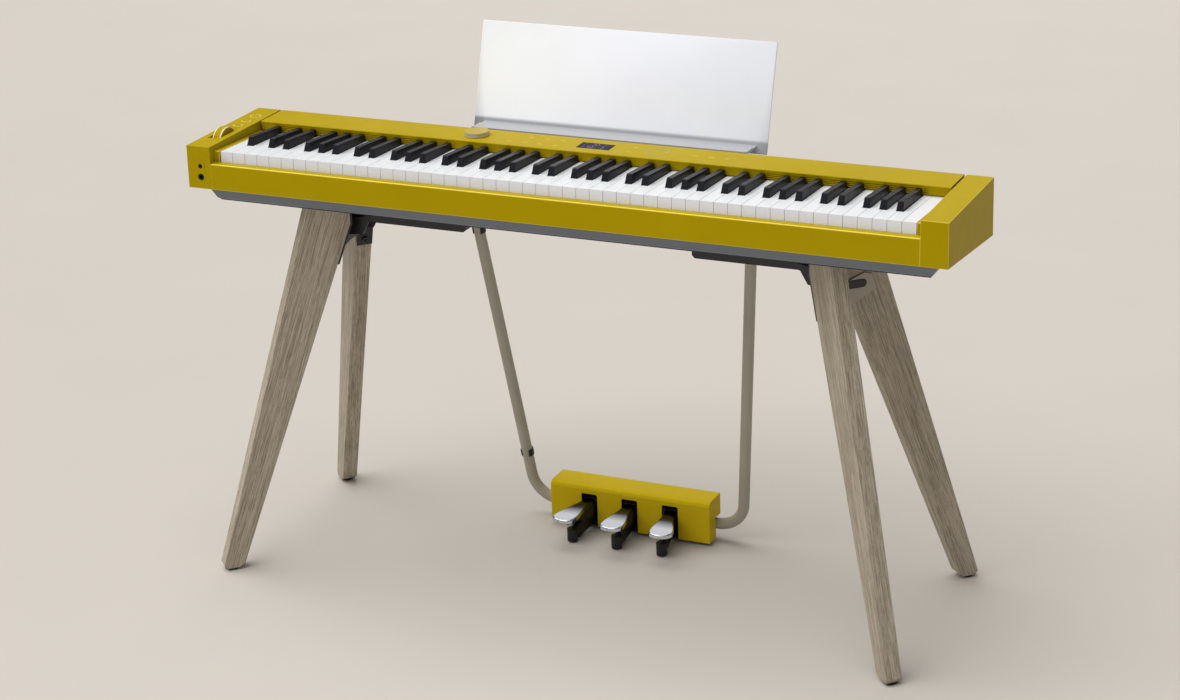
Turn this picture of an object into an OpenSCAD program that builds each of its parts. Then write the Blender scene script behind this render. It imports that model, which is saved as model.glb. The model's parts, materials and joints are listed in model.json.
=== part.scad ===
// Slim 88-key digital piano on a four-legged wooden stand, with a three-pedal unit.
// Origin: on the floor, midway between the four feet. +X right, +Y away from the player.

/* [Instrument] */
// Overall width of the instrument
body_w = 1340; // [1330:1:1360]
// Depth from the front face to the rear face
body_d = 240; // [236:1:250]
// Height of the top surface above the floor
top_z = 748; // [740:1:770]
// Height from the underside of the case to the top surface
body_h = 102; // [100:1:110]
// Width of each end block
block_w = 44.5; // [42:0.5:46]
// Distance that the front face lies ahead of the stand's middle
front_reach = 135; // [128:1:140]
// Wall thickness of the moulded shells
wall = 3; // [2:0.5:3.5]

/* [Keyboard] */
// Width of one white key with its gap
key_pitch = 23.62; // [23:0.02:23.7]
// Gap between neighbouring white keys
key_gap = 0.6; // [0.5:0.1:1.2]
// Depth of the white keys' top below the top surface, at the front
key_drop = 11.8; // [10:0.1:13]
// Angle at which the key tops fall to the rear
key_slope = 2.4; // [0:0.1:3]
// Length of a white key that can be seen
key_visible = 150; // [145:1:152]
// Length of the wide front part of a white key
key_head = 50; // [48:1:52]
// Distance from the key's front to its pivot
key_pivot = 190; // [180:1:195]
// Height of the black keys above the white keys, at their front
sharp_h = 15; // [12:0.5:15]

/* [Stand] */
// Half the distance between the left and right feet
foot_x = 602.4; // [590:0.1:610]
// Half the distance between the front and rear feet
foot_y = 203.5; // [195:0.5:210]
// Angle of each leg's plank from the X axis, seen from above
leg_angle = 44; // [42:0.5:46]
// Thickness of the leg planks
leg_t = 28; // [24:1:30]
// Width of the steel bars under the case
bar_w = 40; // [36:1:40]
// Distance from the middle to the inner end of each bar
bar_inner = 205; // [190:1:240]

/* [Pedals] */
// Width of the pedal box
pedal_box_w = 307.6; // [290:0.1:320]
// Height of the pedal box's top above the floor
pedal_box_z = 84; // [82:1:88]
// Distance between neighbouring pedals at the box
pedal_pitch = 78; // [72:1:80]
// Angle at which the outer pedals fan out
pedal_fan = 11; // [0:1:12]
// Diameter of the pedal tube
tube_d = 20; // [18:0.5:21]

/* [Music rest] */
// Width of the music rest
rest_w = 539; // [500:1:560]
// Height of the music rest above the top surface
rest_h = 162; // [140:1:180]
// Angle at which the music rest leans back
rest_lean = 17.5; // [12:0.5:20]

/* [Hidden] */
$fn = 48;

// colours
mustard = "#c3a51e";
case_grey = "#65686b";
black = "#1c1c1e";
oak = "#8d806d";
taupe = "#857e72";
ivory = "#f4f3ee";
ebony = "#2a2a30";
steel = "#b9bcc0";

// main heights
case_z = top_z - body_h;
base_t = 2;
stand_z = case_z - base_t;
block_front_top = top_z - 1.5;
block_front_z = top_z - 74.8;
block_rear_z = top_z - 96.7;
face_lean = 1.5;
cap_t = 5;
block_in = body_w / 2 - block_w;
gap = 0.2;

// Y of a place that lies d behind the instrument's front face
function at(d) = d - front_reach;

// outline given by its YZ points, extruded from x0 to x1
module along_x(x0, x1, outline) {
    translate([x0, 0, 0]) rotate([90, 0, 90]) linear_extrude(x1 - x0) polygon(outline);
}

// outline given by its XZ points, extruded from y0 to y1
module along_y(y0, y1, outline) {
    translate([0, y1, 0]) rotate([90, 0, 0]) linear_extrude(y1 - y0) polygon(outline);
}

module box(x0, x1, y0, y1, z0, z1) {
    translate([x0, y0, z0]) cube([x1 - x0, y1 - y0, z1 - z0]);
}

// round-ended bar lying along X, from z = 0 up
module stadium(length, width, height) {
    for (side = [-1, 1]) translate([side * (length - width) / 2, 0, 0]) cylinder(d = width, h = height);
    translate([-(length - width) / 2, -width / 2, 0]) cube([length - width, width, height]);
}

module both_sides() {
    children();
    mirror([1, 0, 0]) children();
}

// ---------- end blocks ----------
function block_outline(cut = 0) = [
    [at(0), block_front_z], [at(face_lean), block_front_top - cut],
    [at(body_d), top_z - cut], [at(body_d), block_rear_z]];

function block_hollow(top) = [
    [at(wall + 2), block_front_z + wall], [at(wall + 3), top],
    [at(body_d - wall), top], [at(body_d - wall), block_rear_z + wall]];

wheel_x = -(body_w / 2 - 22);
wheel_y = at(86);
wheel_r = 28;
wheel_z = top_z + 9.5 - wheel_r;
trough_r = 45;
trough_up = 26.3;
button_y = [133, 160, 192];
jack_x = -645;
mini_z = top_z - 35.8;
full_z = top_z - 54.7;
mini_r = 1.8;
full_r = 3.25;
mini_ring = 4.1;
full_ring = 6.1;
jack_plate_t = 1.2;

module end_block(top, hollow_top) {
    difference() {
        along_x(block_in, body_w / 2, block_outline(top));
        along_x(block_in + wall, body_w / 2 - wall, block_hollow(hollow_top));
        // the inner wall is open where the cheeks and the keyboard close it
        along_x(block_in - 1, block_in + wall + 1, [
            [at(22), block_front_z + 4], [at(22), top_z - 30],
            [at(body_d - 8), top_z - 30], [at(body_d - 8), block_rear_z + 4]]);
    }
}

module jack_plate_shape(grow) {
    translate([jack_x, at(-5), (mini_z + full_z) / 2]) rotate([-90, 90, 0])
        stadium(40 + grow, 17 + grow, 5 + jack_plate_t);
}

module left_end_block() {
    color(mustard) difference() {
        mirror([1, 0, 0]) end_block(cap_t, top_z);
        jack_plate_shape(0.4);
        translate([jack_x, at(-1), mini_z]) rotate([-90, 0, 0]) cylinder(r = mini_ring + gap, h = 12);
        translate([jack_x, at(-1), full_z]) rotate([-90, 0, 0]) cylinder(r = full_ring + gap, h = 12);
    }
}

module right_end_block() {
    color(mustard) end_block(0, top_z - wall - 1.5);
}

// disc lying across the pitch wheel's trough
module cross_disc(y, z, r, half) {
    translate([wheel_x - half, y, z]) rotate([0, 90, 0]) cylinder(r = r, h = 2 * half, $fn = 96);
}

module left_end_cap() {
    color(mustard) difference() {
        union() {
            along_x(-body_w / 2, -block_in, [
                [at(face_lean - 0.1), block_front_top - cap_t + gap], [at(face_lean), block_front_top],
                [at(body_d), top_z], [at(body_d), top_z - cap_t + gap]]);
            // underside of the trough that the pitch wheel stands in
            intersection() {
                cross_disc(at(88.5), top_z + trough_up, trough_r + 2, 13);
                box(wheel_x - 14, wheel_x + 14, at(50), at(127), top_z - 25, top_z - 3);
            }
        }
        cross_disc(at(88.5), top_z + trough_up, trough_r, 11);
        cross_disc(wheel_y, wheel_z, wheel_r + 0.8, 8.6);
        for (i = [0, 1]) translate([wheel_x, at(button_y[i]), top_z - 20])
            stadium(14.6, 8.6, 40);
        translate([wheel_x, at(button_y[2]), top_z - 20]) cylinder(r = 8.3, h = 40);
    }
}

// ---------- casing ----------
rail_z = top_z - 30.2;
rail_d = 17;
// where the key tops meet the fascia
fascia_y = 168;
fascia_z = top_z - 16.6;
panel_half = block_in - 3.5;
panel_t = 3;

module front_rail() {
    inner = block_in - 0.3;
    color(mustard) along_x(-inner, inner, [
        [at(0), block_front_z], [at(0.9), rail_z - 1], [at(1.9), rail_z], [at(rail_d), rail_z],
        [at(rail_d), block_front_z]]);
}

module key_cheeks() {
    drop = (fascia_y - rail_d) * tan(key_slope);
    color(mustard) both_sides()
        along_x(block_in - 10.2, block_in - 0.3, [
            [at(rail_d + gap), rail_z - 30], [at(rail_d + gap), top_z - key_drop + 0.6],
            [at(fascia_y - 2), top_z - key_drop + 0.6 - drop],
            [at(fascia_y + 6), top_z - key_drop - drop - 3],
            [at(body_d - 5), top_z - key_drop - drop - 3], [at(body_d - 5), rail_z - 30]]);
}

knob_x = -220;
knob_y = 203;
knob_r = 21;
display_size = [60, 31.5];
display_y = 204;

module top_panel() {
    color(mustard) difference() {
        along_x(-panel_half, panel_half, [
            [at(fascia_y + 2), fascia_z], [at(fascia_y - 1), top_z - 1.2], [at(fascia_y), top_z],
            [at(body_d), top_z], [at(body_d), top_z - panel_t], [at(fascia_y + 3), top_z - panel_t],
            [at(fascia_y + 5), fascia_z]]);
        // speaker slits
        both_sides() for (i = [0:2])
            box(315, 585, at(fascia_y - 10), at(fascia_y + 10),
                top_z - 14 + 3.2 * i, top_z - 12.8 + 3.2 * i);
        translate([knob_x, at(knob_y), top_z - 10]) cylinder(r = 4, h = 20);
        box(-display_size[0] / 2, display_size[0] / 2, at(display_y - display_size[1] / 2),
            at(display_y + display_size[1] / 2), top_z - 1.5, top_z + 1);
    }
}

module case_solid(inset) {
    half = body_w / 2 - 34 - inset;
    floor_z = case_z + inset;
    intersection() {
        along_x(-body_w / 2, body_w / 2, [
            [at(35 + inset), floor_z], [at(31.5 + inset), floor_z + 3],
            [at(25 + inset), block_front_z - gap], [at(25 + inset), block_front_z + 20 * inset],
            [at(body_d - 4 - inset), block_front_z + 20 * inset],
            [at(body_d - 4 - inset), floor_z + 2], [at(body_d - 6 - inset), floor_z]]);
        along_y(at(0), at(body_d), [
            [-half + 3, floor_z], [-half, floor_z + 3], [-half - 17, floor_z + 30],
            [-half - 17, top_z], [half + 17, top_z], [half + 17, floor_z + 30], [half, floor_z + 3],
            [half - 3, floor_z]]);
    }
}

// boards of the lower case: a floor with four walls bonded on it
board_gap = 0.05;

module case_shell() {
    difference() {
        case_solid(0);
        case_solid(wall);
        // the ends pass under the sloping blocks
        both_sides() along_x(block_in - 0.1, body_w / 2 + 1, [
            [at(-1), block_front_z - gap], [at(-1), top_z], [at(body_d + 1), top_z],
            [at(body_d + 1), block_rear_z - gap]]);
    }
}

module lower_case() {
    half = body_w / 2;
    floor_top = case_z + wall;
    front_in = at(35 + wall);
    rear_in = at(body_d - 4 - wall);
    color(case_grey) {
        intersection() {
            case_shell();
            box(-half, half, at(0), at(body_d), case_z - 1, floor_top);
        }
        intersection() {
            case_shell();
            box(-half, half, at(0), front_in, floor_top + board_gap, top_z);
        }
        intersection() {
            case_shell();
            box(-half, half, rear_in + board_gap, at(body_d), floor_top + board_gap, top_z);
        }
        both_sides() intersection() {
            case_shell();
            box(block_in - 20, half, front_in + board_gap, rear_in, floor_top + board_gap, top_z);
        }
        // lip that closes the gap under the front rail
        box(-block_in + 0.3, block_in - 0.3, at(12), at(24.9), block_front_z - gap - wall,
            block_front_z - gap);
    }
}

module base_plate() {
    half = body_w / 2 - 38;
    color(black) box(-half, half, at(36), at(body_d - 8), stand_z, case_z);
}

terminal_x = -500;
terminal_z = top_z - 64;
terminal_size = [150, 34];

module rear_panel() {
    color(case_grey) difference() {
        box(-panel_half, panel_half, at(body_d - 3.7), at(body_d), case_z + 6, top_z - panel_t - gap);
        box(terminal_x - terminal_size[0] / 2, terminal_x + terminal_size[0] / 2,
            at(body_d - 5), at(body_d + 1), terminal_z - terminal_size[1] / 2,
            terminal_z + terminal_size[1] / 2);
    }
}

// offsets along X of the round sockets on the rear: power inlet and two line outputs
socket_x = [-60, 25, 50];
socket_r = [2.75, 3.25, 3.25];
socket_depth = 12;

module terminal_plate() {
    color(black) difference() {
        union() {
            box(terminal_x - terminal_size[0] / 2 + gap, terminal_x + terminal_size[0] / 2 - gap,
                at(body_d - 3.5), at(body_d - 1), terminal_z - terminal_size[1] / 2 + gap,
                terminal_z + terminal_size[1] / 2 - gap);
            for (dx = socket_x) box(terminal_x + dx - 7, terminal_x + dx + 7,
                at(body_d - 1 - socket_depth), at(body_d - 2), terminal_z - 8, terminal_z + 8);
        }
        for (i = [0:2]) translate([terminal_x + socket_x[i], at(body_d), terminal_z])
            rotate([90, 0, 0]) cylinder(r = socket_r[i], h = 1 + socket_depth - 1.5);
        // flat data and pedal connectors, each with its tongue
        for (dx = [-35, -8]) difference() {
            box(terminal_x + dx - 7, terminal_x + dx + 7, at(body_d - 3), at(body_d),
                terminal_z - 4, terminal_z + 4);
            box(terminal_x + dx - 5, terminal_x + dx + 5, at(body_d - 4), at(body_d - 1.5),
                terminal_z - 1.5, terminal_z + 1.5);
        }
    }
}

// ---------- controls ----------
module display_window() {
    half = display_size / 2 - [gap, gap];
    color("#15152a") box(-half[0], half[0], at(display_y) - half[1], at(display_y) + half[1],
        top_z - 1.5, top_z);
}

icon_t = 0.3;
icon_pitch = 28.4;

module touch_icons() {
    color("#e8dc8a") {
        for (i = [0:2]) translate([-65.9 - icon_pitch * i, at(216.5), top_z]) stadium(9, 2.4, icon_t);
        for (i = [0:3]) translate([-66.4 - icon_pitch * i, at(187), top_z]) stadium(9, 2.4, icon_t);
        for (y = [189.4, 215.5]) translate([67.2, at(y), top_z]) stadium(9, 2.4, icon_t);
        for (i = [0:2]) translate([178.6 + icon_pitch * i, at(202.3), top_z]) stadium(9, 2.4, icon_t);
    }
    color("#b9b49a") translate([110.8, at(203), top_z]) difference() {
        cylinder(r = 20, h = icon_t);
        translate([0, 0, -1]) cylinder(r = 17.6, h = icon_t + 2);
    }
}

module volume_knob() {
    color(mustard) translate([knob_x, at(knob_y), 0]) {
        translate([0, 0, top_z + 0.4]) cylinder(r = knob_r, h = 3.4);
        translate([0, 0, top_z + 3.8]) cylinder(r = knob_r - 1.2, h = 0.8);
        translate([0, 0, top_z + 4.6]) cylinder(r = knob_r, h = 3.4);
        translate([0, 0, top_z - 7]) cylinder(r = 3, h = 8);
    }
}

module pitch_wheel() {
    color(mustard) translate([wheel_x, wheel_y, wheel_z]) rotate([0, 90, 0])
        translate([0, 0, -8]) cylinder(r = wheel_r, h = 16, $fn = 96);
}

module push_button(i) {
    color(mustard) translate([wheel_x, at(button_y[i]), top_z - 8])
        if (i == 2) cylinder(r = 8, h = 8.4); else stadium(14, 8, 8.4);
}

module power_button() { push_button(2); }
module control_button_1() { push_button(0); }
module control_button_2() { push_button(1); }

module headphone_plate() {
    color(mustard) difference() {
        intersection() {
            jack_plate_shape(0);
            box(-body_w / 2, -block_in, at(0.2), at(20), block_front_z, top_z);
        }
        translate([jack_x, at(-1), mini_z]) rotate([-90, 0, 0]) cylinder(r = mini_ring, h = 12);
        translate([jack_x, at(-1), full_z]) rotate([-90, 0, 0]) cylinder(r = full_ring, h = 12);
    }
}

module jack(z, bore, ring, depth) {
    translate([jack_x, at(0.6), z]) rotate([-90, 0, 0]) difference() {
        union() {
            cylinder(r = ring - 0.05, h = 6);
            translate([-8, -8, 6]) cube([16, 16, depth - 4.5]);
        }
        translate([0, 0, -1]) cylinder(r = bore, h = depth + 1);
    }
}

mini_depth = 14;
full_depth = 22;

module headphone_jacks() {
    color(black) {
        jack(mini_z, mini_r, mini_ring, mini_depth);
        jack(full_z, full_r, full_ring, full_depth);
    }
}

// ---------- keyboard ----------
key_front = 19;
pivot_drop = 18;
fulcrum_r = 4;
key_h = 16;
lip_h = 20;
tail_end = 205;
white_count = 52;
keys_left = -white_count * key_pitch / 2;
octave = 7 * key_pitch;
// middles of the five black keys, from the left edge of their octave
left_slot = 3 * key_pitch / 5;
right_slot = 4 * key_pitch / 7;
sharp_middle = [1.5 * left_slot, 3.5 * left_slot, 3 * key_pitch + 1.5 * right_slot,
    3 * key_pitch + 3.5 * right_slot, 3 * key_pitch + 5.5 * right_slot];
// for each white key C D E F G A B: the black key on its left and on its right, or -1
left_sharp = [-1, 0, 1, -1, 2, 3, 4];
right_sharp = [0, 1, -1, 2, 3, 4, -1];
slot_half = 6.9;
sharp_w = 12;
sharp_top_w = 9.6;
sharp_fall = 3.5;

// the key bed's own frame: origin at the front top edge of the white keys, tops level
module key_bed() {
    translate([0, at(key_front), top_z - key_drop]) rotate([-key_slope, 0, 0]) children();
}

// white key i counts from 0 at the left; the first full octave starts at key 2
function key_step(i) = (i + 5) % 7;
function octave_x(i) = keys_left + (i - key_step(i)) * key_pitch;

module white_key(i) {
    step = key_step(i);
    x0 = keys_left + i * key_pitch + key_gap / 2;
    x1 = x0 + key_pitch - key_gap;
    has_left = left_sharp[step] >= 0 && i > 0;
    has_right = right_sharp[step] >= 0 && i < white_count - 1;
    t0 = has_left ? octave_x(i) + sharp_middle[left_sharp[step]] + slot_half : x0;
    t1 = has_right ? octave_x(i) + sharp_middle[right_sharp[step]] - slot_half : x1;
    key_bed() {
        difference() {
            translate([0, 0, -key_h]) linear_extrude(key_h) polygon([
                [x0, 0], [x1, 0], [x1, key_head], [t1, key_head], [t1, tail_end], [t0, tail_end],
                [t0, key_head], [x0, key_head]]);
            pivot_groove(x0 - 1, x1 + 1);
        }
        box(x0, x1, 0, 3, -lip_h, -key_h + 1);
    }
}

// groove in a key's underside, in which the key rocks on the rounded rail
module pivot_groove(x0, x1) {
    translate([x0, key_pivot, -pivot_drop]) rotate([0, 90, 0])
        cylinder(r = fulcrum_r + 0.05, h = x1 - x0);
}

// black key whose left neighbour is white key i
module black_key(i) {
    middle = octave_x(i) + sharp_middle[right_sharp[key_step(i)]];
    key_bed() {
        intersection() {
            along_x(middle - 10, middle + 10, [
                [key_head + 0.8, -2], [key_head + 7.3, sharp_h - 1.2], [key_head + 8.8, sharp_h],
                [key_visible - 2, sharp_h - sharp_fall], [key_visible - 1.5, -2]]);
            along_y(0, key_visible + 10, [
                [middle - sharp_w / 2, -2], [middle - sharp_top_w / 2, sharp_h + 1],
                [middle + sharp_top_w / 2, sharp_h + 1], [middle + sharp_w / 2, -2]]);
        }
        box(middle - sharp_w / 2, middle + sharp_w / 2, key_head + 0.8, key_visible - 1.5, -key_h, -2);
        difference() {
            box(middle - 5, middle + 5, key_visible - 1.5, tail_end, -key_h, -2.5);
            pivot_groove(middle - 6, middle + 6);
        }
    }
}

module white_keys(first, last) {
    color(ivory) for (i = [first:last]) white_key(i);
}

module black_keys(first, last) {
    color(ebony) for (i = [first:last])
        if (right_sharp[key_step(i)] >= 0 && i < white_count - 1) black_key(i);
}

// the middle octave starts at this white key
middle_c = 23;

module bass_white_keys() { white_keys(0, middle_c - 1); }
module bass_black_keys() { black_keys(0, middle_c - 1); }
module treble_white_keys() { white_keys(middle_c + 4, white_count - 1); }
module treble_black_keys() { black_keys(middle_c + 4, white_count - 1); }
module key_c4() { white_keys(middle_c, middle_c); }
module key_c_sharp_4() { black_keys(middle_c, middle_c); }
module key_d4() { white_keys(middle_c + 1, middle_c + 1); }
module key_d_sharp_4() { black_keys(middle_c + 1, middle_c + 1); }
module key_e4() { white_keys(middle_c + 2, middle_c + 2); }
module key_f4() { white_keys(middle_c + 3, middle_c + 3); }
module key_f_sharp_4() { black_keys(middle_c + 3, middle_c + 3); }

// ---------- inside ----------
chassis_half = block_in - 14;

module key_chassis() {
    floor_z = case_z + wall + gap;
    upright_z = floor_z + 4 + board_gap;
    color("#3a3a3e") difference() {
        union() {
            box(-chassis_half, chassis_half, at(38), at(body_d - 12), floor_z, floor_z + 4);
            box(-chassis_half, chassis_half, at(50), at(62), upright_z, top_z - key_drop - 36);
            box(-chassis_half, chassis_half, at(200), at(214), upright_z, top_z - key_drop - 38);
        }
        // cable holes in the rear upright
        for (x = [-400, 0, 400]) box(x - 20, x + 20, at(190), at(220), floor_z + 10, floor_z + 22);
    }
}

module key_felt() {
    color("#8c2f2f") key_bed() box(-chassis_half, chassis_half, 33, 41, -32, -27);
}

module key_pivot_rail() {
    color(steel) key_bed() {
        box(-chassis_half, chassis_half, key_pivot - 3, key_pivot + 3, -28.5, -pivot_drop);
        box(-chassis_half, chassis_half, key_pivot - 8, key_pivot + 8, -28.5, -26.5);
        translate([-chassis_half, key_pivot, -pivot_drop]) rotate([0, 90, 0])
            cylinder(r = fulcrum_r, h = 2 * chassis_half);
    }
}

module circuit_boards() {
    color("#2f6b45") {
        box(-280, 280, at(fascia_y + 8), at(body_d - 8), top_z - 11, top_z - 9.4);
        translate([knob_x, at(knob_y), top_z - 9.4]) cylinder(r = 2.6, h = 1.6);
        box(-330, -90, at(88), at(178), case_z + 12, case_z + 13.6);
        for (x = [-320, -100], y = [96, 170]) translate([x, at(y), case_z + wall + gap + 4.05])
            cylinder(r = 3, h = 5);
        // board under the buttons and the pitch wheel
        box(-body_w / 2 + 6, -block_in - 6, at(128), at(204), top_z - 14, top_z - 12.4);
    }
}

module speakers() {
    color(black) both_sides() {
        translate([440, at(130), case_z + 7.4]) {
            difference() {
                stadium(150, 76, 24);
                translate([0, 0, 18]) stadium(136, 62, 10);
            }
            cylinder(d1 = 44, d2 = 40, h = 20);
        }
        // cloth strip behind the slits
        box(312, 588, at(fascia_y + 5.1), at(fascia_y + 6), fascia_z + 1, top_z - panel_t - 0.5);
    }
}

// ---------- stand ----------
leg_out_slope = 0.309;
leg_in_slope = 0.39;
leg_out_s = 24.1;
leg_in_s = -12.5;
knee_z = 605;
pad_h = 4;

// distance from the foot's middle, outward along the plank
function leg_outer(z) = leg_out_s - leg_out_slope * z;
function leg_inner(z) = leg_in_s - leg_in_slope * min(z, knee_z);

// moves a leg's own frame (x outward along the plank) to corner sx, sy
module leg_frame(sx, sy) {
    translate([sx * foot_x, sy * foot_y, 0])
        rotate([0, 0, atan2(sy * sin(leg_angle), sx * cos(leg_angle))]) children();
}

module leg(sx, sy) {
    cut = 7;
    color(oak) leg_frame(sx, sy) along_y(-leg_t / 2, leg_t / 2, [
        [leg_inner(pad_h) + cut, pad_h], [leg_outer(pad_h) - cut, pad_h],
        [leg_outer(pad_h + cut), pad_h + cut], [leg_outer(stand_z), stand_z],
        [leg_inner(stand_z), stand_z], [leg_inner(knee_z), knee_z],
        [leg_inner(pad_h + cut), pad_h + cut]]);
}

module front_left_leg() { leg(-1, -1); }
module front_right_leg() { leg(1, -1); }
module rear_left_leg() { leg(-1, 1); }
module rear_right_leg() { leg(1, 1); }

module foot_pads() {
    color(black) for (sx = [-1, 1], sy = [-1, 1]) leg_frame(sx, sy)
        translate([leg_out_s - 19, 0, 0]) {
            cylinder(r1 = 10.5, r2 = 12, h = 1.5);
            translate([0, 0, 1.5]) cylinder(r = 12, h = pad_h - 1.5);
        }
}

flange_t = 3;
flange_z = 535;
bar_z = stand_z - 40.5;
web_x = 431;
bar_outer = 452;
bar_wall = 2.5;
plate_t = 3;
slot_z = 566.5;
slot_h = 14;

// steel bar between two legs, with a flange against each leg's inner edge
module right_bracket() {
    color(black) {
        difference() {
            box(bar_inner, bar_outer, -bar_w / 2, bar_w / 2, bar_z, stand_z);
            box(bar_inner + 4, bar_outer - 4, -bar_w / 2 + bar_wall, bar_w / 2 - bar_wall,
                bar_z + bar_wall, stand_z + 1);
            translate([bar_inner, 0, bar_z]) rotate([0, 45, 0]) cube([7, bar_w + 2, 7], center = true);
        }
        // gussets under the bar's side walls, and an arched web between the flanges
        for (y = [-bar_w / 2, bar_w / 2 - bar_wall]) along_y(y, y + bar_wall, [
            [384, bar_z + 1], [391, bar_z - 1], [397.5, 591], [404, 580], [web_x + bar_wall, 577],
            [web_x + bar_wall, bar_z + 1]]);
        along_x(web_x, web_x + bar_wall, [
            [-43.3, 560], [-21.8, 600], [-bar_w / 2, bar_z + 1], [bar_w / 2, bar_z + 1], [21.8, 600],
            [43.3, 560], [20, 565], [0, 567], [-20, 565]]);
        for (sy = [-1, 1]) leg_frame(1, sy) {
            along_y(-leg_t / 2, leg_t / 2, [
                [leg_inner(stand_z), stand_z], [leg_inner(knee_z), knee_z],
                [leg_inner(flange_z), flange_z], [leg_inner(flange_z) - flange_t, flange_z],
                [leg_inner(knee_z) - flange_t, knee_z], [leg_inner(stand_z) - flange_t, stand_z]]);
        }
    }
}

module left_bracket() { mirror([1, 0, 0]) right_bracket(); }

// plates on the faces that the legs of one pair turn to each other
module leg_plates() {
    color(taupe) both_sides() for (sy = [-1, 1]) leg_frame(1, sy) mirror([0, (sy + 1) / 2, 0])
        difference() {
            along_y(leg_t / 2, leg_t / 2 + plate_t, [
                [-174.4, 555], [-182.5, 580], [-196, 584], [-226, 573], [-226, 527]]);
            translate([-222, leg_t / 2 - 1, slot_z]) rotate([-90, 0, 0]) stadium(60, slot_h, 10);
        }
}

// heights of the two bolts in each flange, one below and one beside the web
bolt_z = [547, 591];

module stand_bolts() {
    color(black) both_sides() for (sy = [-1, 1]) leg_frame(1, sy) {
        for (z = bolt_z) translate([leg_inner(z) - flange_t, 0, z])
            rotate([0, -90 - atan(leg_in_slope), 0]) difference() {
                cylinder(r = 5.5, h = 3.2);
                translate([0, 0, 1.4]) cylinder(r = 2.6, h = 4, $fn = 6);
            }
        // black slot covers in the leg plates
        mirror([0, (sy + 1) / 2, 0]) intersection() {
            translate([-222, leg_t / 2, slot_z]) rotate([-90, 0, 0]) stadium(59, slot_h - 1, 4);
            box(-226, -180, 0, 40, slot_z - 20, slot_z + 20);
        }
    }
}

// ---------- pedal tube ----------
tube_r = tube_d / 2;
tube_low_z = 30;
tube_low = [201.5, 197, tube_low_z];
tube_high = [258.6, 112, 622];
bend_low = 52;
bend_high = 42;

function unit(v) = v / norm(v);

// straight length of tube from a to b
module rod(a, b, r) {
    d = b - a;
    translate(a) rotate([0, acos(d[2] / norm(d)), atan2(d[1], d[0])]) cylinder(r = r, h = norm(d));
}

// bend of radius r at the corner c between directions in and out
module bend(c, in, out, r) {
    angle = acos(in * out);
    axis = unit(cross(in, out));
    start = c - in * r * tan(angle / 2);
    centre = start + cross(axis, in) * r;
    ex = unit(start - centre);
    ey = cross(axis, ex);
    multmatrix([
        [ex[0], ey[0], axis[0], centre[0]], [ex[1], ey[1], axis[1], centre[1]],
        [ex[2], ey[2], axis[2], centre[2]], [0, 0, 0, 1]])
        rotate_extrude(angle = angle) translate([r, 0]) circle(r = tube_r);
}

fall = unit(tube_low - tube_high);
low_in = [-1, 0, 0];
low_turn = bend_low * tan(acos(fall * low_in) / 2);
high_turn = bend_high * tan(acos(fall * [0, 1, 0]) / 2);
// the base rod ends behind the pedal box, a little inward of the low bends
base_half = tube_low[0] - low_turn - 10;
// the straight lengths are a hair thinner than the bends and run a little way into them
straight_r = tube_r - 0.05;
into_bend = 1;

module pedal_tube_right() {
    color(taupe) {
        rod([tube_high[0], bar_w / 2, tube_high[2]], tube_high - [0, high_turn - into_bend, 0],
            straight_r);
        bend(tube_high, [0, 1, 0], fall, bend_high);
        rod(tube_high + fall * (high_turn - into_bend), tube_low - fall * (low_turn - into_bend),
            straight_r);
        bend(tube_low, fall, low_in, bend_low);
        rod([base_half, tube_low[1], tube_low[2]], tube_low - [low_turn - into_bend, 0, 0], straight_r);
    }
}

module pedal_tube_left() { mirror([1, 0, 0]) pedal_tube_right(); }

module pedal_tube_base() {
    color(taupe)
        rod([-base_half, tube_low[1], tube_low[2]], [base_half, tube_low[1], tube_low[2]], straight_r);
}

// ---------- pedal unit ----------
box_front = 292;
box_depth = 53;
step_z = 44;
step_d = 30;
pedal_slot_z = 67.5;
pedal_slot_w = 30;
box_z = 6;
pivot_back = 36;
pivot_z = 62;
pin_r = 3;
lever_half = 10;
skirt_in = 7.6;
web_half = 4.8;
ear_half = 13.6;

function box_outline() = [
    [at(box_front), box_z], [at(box_front), pedal_box_z - 8], [at(box_front + 2.5), pedal_box_z - 3],
    [at(box_front + 8), pedal_box_z], [at(box_front + box_depth), pedal_box_z],
    [at(box_front + box_depth), step_z], [at(box_front + step_d), step_z],
    [at(box_front + step_d), box_z]];

module pedal_box() {
    half = pedal_box_w / 2;
    color(mustard) difference() {
        along_x(-half, half, box_outline());
        along_x(-half + wall, half - wall, [
            [at(box_front + wall), 0], [at(box_front + wall), pedal_box_z - 9],
            [at(box_front + wall + 6), pedal_box_z - wall],
            [at(box_front + box_depth + 5), pedal_box_z - wall], [at(box_front + box_depth + 5), 0]]);
        for (i = [-1:1]) {
            x = i * pedal_pitch;
            half_slot = pedal_slot_w / 2;
            box(x - half_slot, x + half_slot, at(box_front - 5), at(box_front + 5), 0, pedal_slot_z - 3);
            translate([x, at(box_front - 5), pedal_slot_z - 3]) rotate([-90, 0, 0])
                stadium(pedal_slot_w, 6, 10);
        }
    }
}

module pedal_box_back() {
    t = 2.5;
    half = pedal_box_w / 2 - wall - gap;
    back = box_front + box_depth;
    step = box_front + step_d;
    color("#3a3a3e") along_x(-half, half, [
        [at(back), pedal_box_z - wall - gap], [at(back), step_z], [at(step), step_z], [at(step), box_z],
        [at(box_front + wall + gap), box_z], [at(box_front + wall + gap), box_z + t],
        [at(step - t), box_z + t], [at(step - t), step_z + t], [at(back - t), step_z + t],
        [at(back - t), pedal_box_z - wall - gap]]);
}

// each pedal's own frame: origin at its slot on the box front, on the floor
module pedal_frame(i) {
    translate([i * pedal_pitch, at(box_front), 0]) rotate([0, 0, i * pedal_fan]) children();
}

foot_back = -59;
// the supports fan out less than the pedals that they carry
support_turn = 0.7;

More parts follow.
